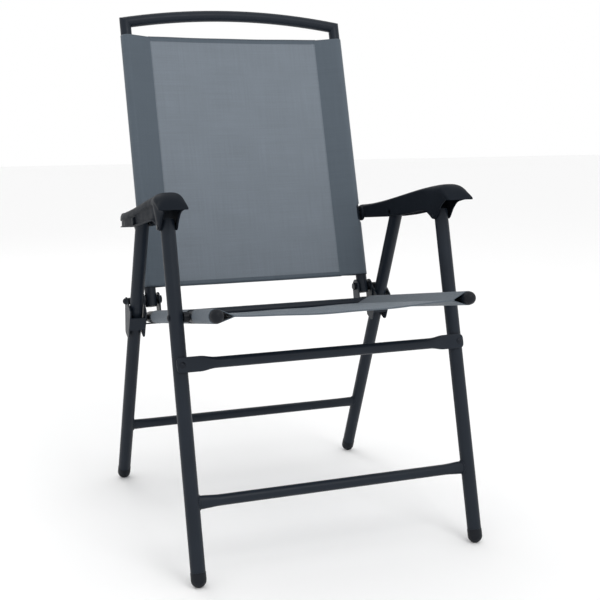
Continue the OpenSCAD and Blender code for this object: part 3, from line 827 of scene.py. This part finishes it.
def weld_path(side, middle, oval, leg_node):
    """The line round an oval bar's end, on the round leg that it meets."""
    low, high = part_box(leg_node)
    leg_x = abs(low[0] + high[0]) / 2
    leg_r = (high[0] - low[0]) / 2
    tall, deep = oval
    path = []
    for k in range(WELD_STEPS):
        a = 2 * math.pi * k / WELD_STEPS
        x = leg_x - math.sqrt(leg_r ** 2 - (deep.length * math.sin(a)) ** 2)
        path.append(Vector((side * (x + 0.3 * MM), middle.y, middle.z))
                    + tall * math.cos(a) + deep * math.sin(a))
    return path


def make_weld(name, body, side, middle, oval, leg_node, materials):
    """A lumpy bead where an oval bar meets a round leg."""
    rng = random.Random(name)
    lumps = [rng.uniform(0.85, 1.15) for _ in range(WELD_STEPS)]
    path = weld_path(side, middle, oval, leg_node)
    rings = []
    for k, place in enumerate(path):
        along = (path[(k + 1) % WELD_STEPS] - path[k - 1]).normalized()
        out = (place - Vector((place.x, middle.y, middle.z))).normalized()
        third = along.cross(out).normalized()
        ripple = 1 + 0.16 * math.sin(k * 2 * math.pi / 4.0)
        size = WELD_R * lumps[k] * ripple
        rings.append([place + size * (math.cos(b) * out + math.sin(b) * third)
                      for b in np.linspace(0, 2 * math.pi, 10, endpoint=False)])
    points, faces = loft(rings + [rings[0]], caps=False)
    mesh = mesh_from(name, points, faces)
    fix_normals(mesh, merge=True)
    add_piece(name, mesh, (materials["weld"],), body)


def brace_stations(turn_x, flat_x):
    """Places along the brace in x: close together on its tapers and its round ends."""
    stations = [turn_x + BRACE_CORNER * math.sin(a) for a in np.linspace(0, math.pi / 2, 14)]
    stations += list(np.linspace(flat_x - BRACE_TAPER - 6 * MM, turn_x, 36)[:-1])
    return sorted([-x for x in stations] + [0.0] + stations)


def make_knee_brace(materials):
    """A tube whose ends are pressed flat and rounded, on the front faces of the legs."""
    name = "knee_brace"
    up, front = bar_frame("front_leg_left")
    low, high = (Vector(corner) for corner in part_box(name))
    middle = (low + high) / 2
    turn_x = high.x - BRACE_CORNER
    flat_x = high.x - BRACE_PAST_LEG - BRACE_FLAT
    rings = []
    for x in brace_stations(turn_x, flat_x):
        press = smoothstep((abs(x) - (flat_x - BRACE_TAPER)) / BRACE_TAPER)
        past = max(abs(x) - turn_x, 0.0) / BRACE_CORNER
        round_off = math.sqrt(max(1 - past ** 2, 0.0))
        height = BRACE_R + (BRACE_END - BRACE_R) * smoothstep(press * 1.15)
        height -= BRACE_CORNER * (1 - round_off)
        depth = BRACE_R + (BRACE_THIN_R - BRACE_R) * press
        depth *= 0.6 + 0.4 * round_off
        rings.append(bar_ring(Vector((x, middle.y, middle.z)), up, front, height, depth,
                              2.0 + 2.2 * press, 44))
    brace = add_skin(name + "_tube", rings, materials["frame_steel"], "front_frame")
    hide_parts(name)


# ---- The chair ----

SEAT_SAG, SEAT_RISE, SEAT_SEAM = 8.5 * MM, 4.5 * MM, 30.0 * MM
BACK_SAG, BACK_RISE, BACK_SEAM = 7.0 * MM, 0.0, 47.0 * MM


def dress_cad_nodes(materials):
    for name, thing in NODES.items():
        slot = SLOTS[name]
        thing.data.materials.clear()
        thing.data.materials.append(materials.get(slot, materials["single"]))


def make_slings(materials):
    seat_pivot = JOINTS["seat_fold"]["pos_m"]
    hinge = JOINTS["back_fold"]["pos_m"]
    seat_rail = Rail("seat_tube_right", seat_pivot, (1, 0), (0, 1), SEAT_SEAM)
    seat = Panel(seat_rail, "seat_sling", SEAT_SAG, SEAT_RISE, 0.7)
    # The seat's single layer takes the darker copy of the cloth, which is painted shade.
    make_sling("seat_fabric", "seat_sling", "seat", seat, 0.0, materials["seat"], materials)
    back_rail = Rail("back_tube_right", hinge, (0, 1), (-1, 0), BACK_SEAM)
    back = Panel(back_rail, "back_sling", BACK_SAG, BACK_RISE, 2.3)
    low, high = (np.array(corner[1:]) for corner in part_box("arm_rear_pins"))
    notch_s = float(((low + high) / 2 - np.array(hinge[1:])) @ back_rail.along)
    make_sling("back_fabric", "back_sling", "back", back, notch_s, materials["single"],
               materials)


make_camera()
make_studio()
make_floor()
MATERIALS = make_materials()
dress_cad_nodes(MATERIALS)
make_slings(MATERIALS)
for side_name in SIDES:
    make_armrest(side_name, MATERIALS)
    make_arm_discs(side_name, MATERIALS)
make_lower_bar("front_lower_bar", "front_leg_left", "front_frame", MATERIALS)
make_lower_bar("rear_lower_bar", "rear_leg_left", "rear_frame", MATERIALS)
make_knee_brace(MATERIALS)
